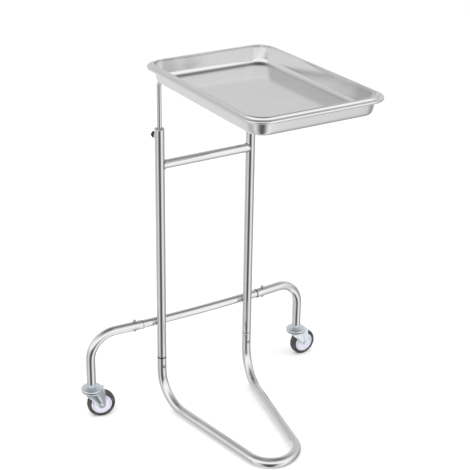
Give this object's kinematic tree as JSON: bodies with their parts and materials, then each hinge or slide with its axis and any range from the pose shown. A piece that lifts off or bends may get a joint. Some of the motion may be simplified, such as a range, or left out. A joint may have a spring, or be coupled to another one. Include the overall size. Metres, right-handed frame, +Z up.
{
  "type": "instrument cart",
  "caption": "Wheeled instrument stand: deep steel tray on telescopic rods in tube posts, with a U-shaped floor tube and casters behind.",
  "frame": {"origin": "on the floor, under the centre of the bounding box", "axes": "+Z up, +X across the cart, -Y towards the front, where the tray and the floor tube reach out"},
  "size_m": [0.74, 0.5679, 0.9692],
  "materials": {
    "polished_tube": "polished stainless steel tube",
    "tray_steel": "satin stainless steel sheet",
    "rod_steel": "polished steel rod",
    "weld_steel": "brushed weld",
    "fastener_steel": "plated fastener",
    "zinc": "bright zinc plate",
    "black_plastic": "moulded",
    "grey_nylon": "moulded nylon",
    "tyre_rubber": "smooth tread",
    "hub_plastic": "moulded, slightly glossy"
  },
  "bodies": {
    "stand": {"upper_brace": "polished_tube", "floor_tube": "polished_tube", "rear_crossbar": "polished_tube", "left_post": "polished_tube", "left_arm": "polished_tube", "left_brace_weld": "weld_steel", "left_crossbar_weld": "weld_steel", "left_guide_bush": "fastener_steel", "left_base_spigot": "rod_steel", "left_base_screw": "fastener_steel", "left_arm_bolt": "fastener_steel", "left_arm_cap_nut": "fastener_steel", "left_clamp_boss": "fastener_steel", "left_caster_socket": "grey_nylon", "left_caster_stem": "zinc", "left_stem_nut": "zinc", "left_caster_top_race": "zinc", "right_post": "polished_tube", "right_arm": "polished_tube", "right_brace_weld": "weld_steel", "right_crossbar_weld": "weld_steel", "right_guide_bush": "fastener_steel", "right_base_spigot": "rod_steel", "right_base_screw": "fastener_steel", "right_arm_bolt": "fastener_steel", "right_arm_cap_nut": "fastener_steel", "right_clamp_boss": "fastener_steel", "right_caster_socket": "grey_nylon", "right_caster_stem": "zinc", "right_stem_nut": "zinc", "right_caster_top_race": "zinc"},
    "tray_frame": {"left_lift_rod": "rod_steel", "right_lift_rod": "rod_steel", "left_rod_guide": "grey_nylon", "right_rod_guide": "grey_nylon", "rear_cross_rod": "rod_steel", "middle_cross_rod": "rod_steel", "front_cross_rod": "rod_steel"},
    "instrument_tray": {"tray": "tray_steel"},
    "left_clamp_end": {"left_clamp_pad": "grey_nylon"},
    "left_clamp_turn": {"left_clamp_screw": "fastener_steel", "left_clamp_knob": "black_plastic"},
    "left_caster_swivel": {"left_caster_fork": "zinc", "left_ball_ring": "rod_steel", "left_axle_bolt": "zinc", "left_axle_nut": "zinc"},
    "left_wheel": {"left_tyre": "tyre_rubber", "left_hub": "hub_plastic", "left_wheel_bush": "rod_steel"},
    "right_clamp_end": {"right_clamp_pad": "grey_nylon"},
    "right_clamp_turn": {"right_clamp_screw": "fastener_steel", "right_clamp_knob": "black_plastic"},
    "right_caster_swivel": {"right_caster_fork": "zinc", "right_ball_ring": "rod_steel", "right_axle_bolt": "zinc", "right_axle_nut": "zinc"},
    "right_wheel": {"right_tyre": "tyre_rubber", "right_hub": "hub_plastic", "right_wheel_bush": "rod_steel"}
  },
  "joints": [
    {"name": "height_slide", "type": "slide", "parent": "stand", "child": "tray_frame", "axis": [0, 0, 1], "range_m": [-0.08, 0.4]},
    {"name": "tray_lift", "type": "slide", "parent": "tray_frame", "child": "instrument_tray", "axis": [0, 0, 1], "range_m": [0, 0.15]},
    {"name": "left_clamp_travel", "type": "slide", "parent": "stand", "child": "left_clamp_end", "axis": [0, 1, 0], "range_m": [0, 0.0021]},
    {"name": "left_clamp_turn", "type": "hinge", "parent": "left_clamp_end", "child": "left_clamp_turn", "pos_m": [-0.1495, 0.2469, 0.767], "axis": [0, 1, 0], "range_deg": [0, 720]},
    {"name": "left_caster_swivel", "type": "hinge", "parent": "stand", "child": "left_caster_swivel", "pos_m": [-0.3415, 0.25551, 0.081], "axis": [0, 0, 1], "continuous": true},
    {"name": "left_wheel_spin", "type": "hinge", "parent": "left_caster_swivel", "child": "left_wheel", "pos_m": [-0.31832, 0.2493, 0.0375], "axis": [0.2588, 0.9659, 0], "continuous": true},
    {"name": "right_clamp_travel", "type": "slide", "parent": "stand", "child": "right_clamp_end", "axis": [0, 1, 0], "range_m": [0, 0.0021]},
    {"name": "right_clamp_turn", "type": "hinge", "parent": "right_clamp_end", "child": "right_clamp_turn", "pos_m": [0.1165, 0.2469, 0.767], "axis": [0, 1, 0], "range_deg": [0, 720]},
    {"name": "right_caster_swivel", "type": "hinge", "parent": "stand", "child": "right_caster_swivel", "pos_m": [0.3085, 0.25551, 0.081], "axis": [0, 0, 1], "continuous": true},
    {"name": "right_wheel_spin", "type": "hinge", "parent": "right_caster_swivel", "child": "right_wheel", "pos_m": [0.3325, 0.25551, 0.0375], "axis": [0, 1, 0], "continuous": true}
  ],
  "couplings": [
    {"joint": "left_clamp_travel", "follows": "left_clamp_turn", "m_per_rad": 0.00015915},
    {"joint": "right_clamp_travel", "follows": "right_clamp_turn", "m_per_rad": 0.00015915}
  ]
}
